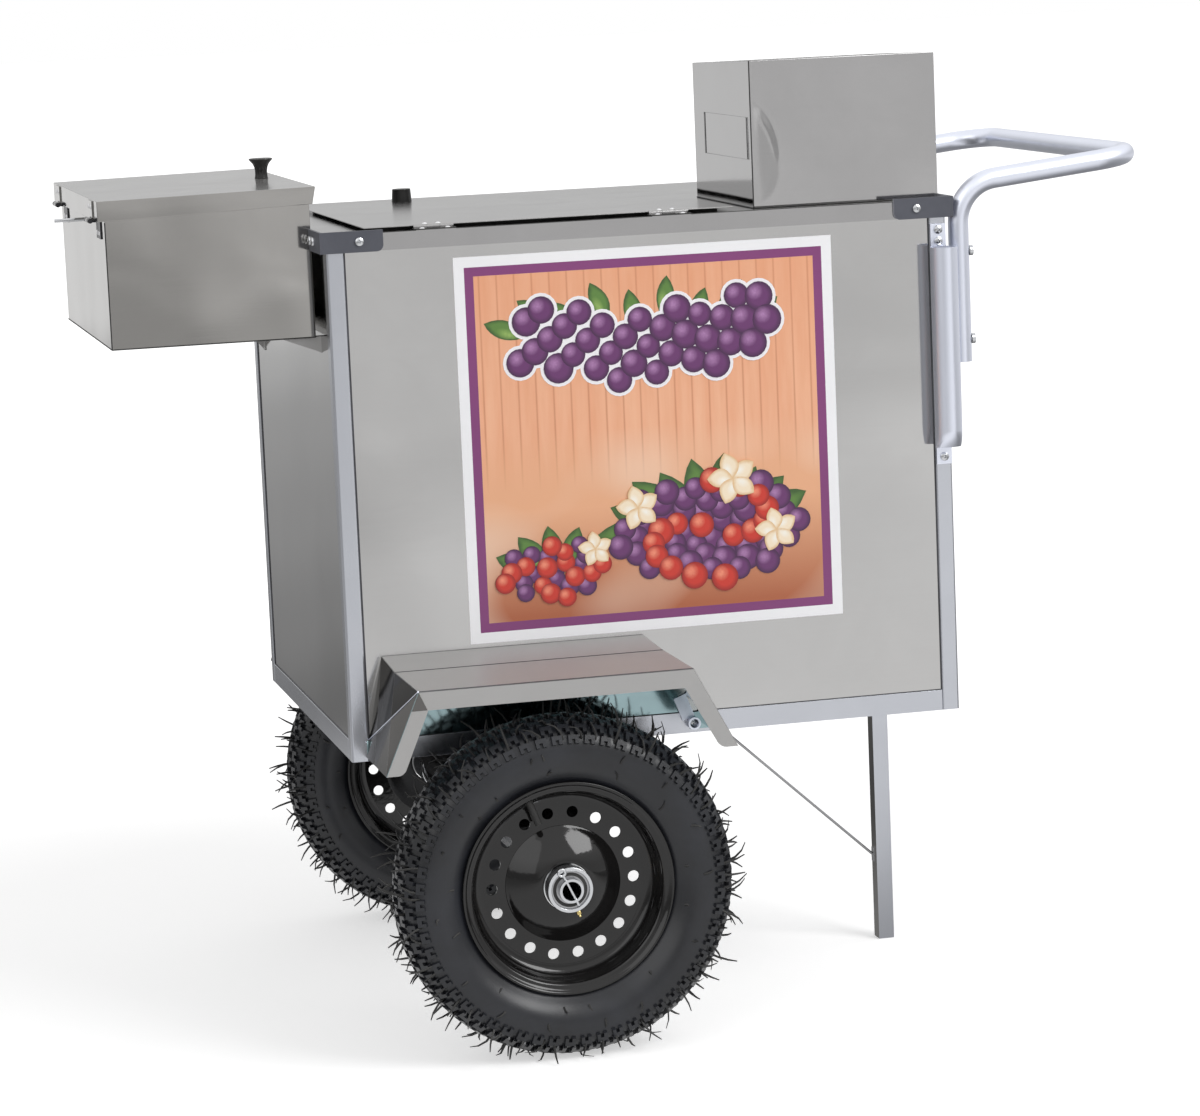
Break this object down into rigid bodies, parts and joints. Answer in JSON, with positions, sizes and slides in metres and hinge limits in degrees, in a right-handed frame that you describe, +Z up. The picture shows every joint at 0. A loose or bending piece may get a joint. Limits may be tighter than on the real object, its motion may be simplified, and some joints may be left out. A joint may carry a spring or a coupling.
{
  "type": "street vending cart",
  "caption": "Insulated stainless street cart for frozen berry cream on barrow wheels, with hinged lid, topping box, open cup box, umbrella holder and push handle.",
  "frame": {"origin": "on the floor, in the middle of the overall length and width", "axes": "+X along the cart towards the push handle, +Y across the cart away from the label side, +Z up"},
  "size_m": [1.1434, 0.7478, 1.0145],
  "materials": {
    "aluminium": "satin",
    "stainless": "polished sheet, softly wavy",
    "foam": "matte",
    "batten": "sawn",
    "bracket": "satin",
    "fastener": "zinc plated",
    "handle_tube": "satin",
    "label": "printed sheet",
    "seal": "matte",
    "knob": "satin",
    "black_paint": "gloss",
    "tyre": "matte",
    "rubber": "matte"
  },
  "bodies": {
    "cart": {"post_near_left": "aluminium", "post_near_right": "aluminium", "post_far_left": "aluminium", "post_far_right": "aluminium", "rail_near": "aluminium", "rail_far": "aluminium", "rail_left": "aluminium", "rail_right": "aluminium", "floor_crossbar": "aluminium", "fender_near": "aluminium", "fender_far": "aluminium", "umbrella_holder": "aluminium", "support_leg": "aluminium", "panel_near": "stainless", "panel_far": "stainless", "panel_left": "stainless", "panel_right": "stainless", "floor_panel": "stainless", "inner_tank": "stainless", "top_deck": "stainless", "topping_box": "stainless", "topping_gussets": "stainless", "cup_box": "stainless", "insulation": "foam", "top_batten": "batten", "corner_brackets": "bracket", "pan_screws": "fastener", "handle_bolts": "fastener", "split_pins": "fastener", "topping_lid_stop": "fastener", "main_hinge_deck_leaves": "fastener", "main_hinge_pins": "fastener", "topping_hinge_box_leaves": "fastener", "topping_hinge_pins": "fastener", "axle": "fastener", "axle_collars": "fastener", "stay_rod": "fastener", "handle": "handle_tube", "side_label": "label", "lid_seal": "seal", "axle_hanger_near": "black_paint", "axle_hanger_far": "black_paint"},
    "main_lid": {"main_lid_top": "stainless", "main_lid_pan": "stainless", "main_lid_foam": "foam", "main_lid_knob": "knob", "main_hinge_lid_leaves": "fastener"},
    "topping_cover": {"topping_lid": "stainless", "topping_lid_knob": "knob", "topping_hinge_lid_leaves": "fastener"},
    "near_wheel": {"near_rim": "black_paint", "near_hub": "fastener", "near_bearings": "fastener", "near_tyre": "tyre", "near_inner_tube": "rubber"},
    "far_wheel": {"far_rim": "black_paint", "far_hub": "fastener", "far_bearings": "fastener", "far_tyre": "tyre", "far_inner_tube": "rubber"}
  },
  "joints": [
    {"name": "main_lid_hinge", "type": "hinge", "parent": "cart", "child": "main_lid", "pos_m": [-0.0853, -0.2474, 0.8629], "axis": [1, 0, 0], "range_deg": [0, 165]},
    {"name": "topping_cover_hinge", "type": "hinge", "parent": "cart", "child": "topping_cover", "pos_m": [-0.5526, 0, 0.88279], "axis": [0, -1, 0], "range_deg": [0, 104]},
    {"name": "near_wheel_spin", "type": "hinge", "parent": "cart", "child": "near_wheel", "pos_m": [-0.1233, -0.3305, 0.18], "axis": [0, 1, 0], "continuous": true},
    {"name": "far_wheel_spin", "type": "hinge", "parent": "cart", "child": "far_wheel", "pos_m": [-0.1233, 0.3305, 0.18], "axis": [0, 1, 0], "continuous": true}
  ]
}
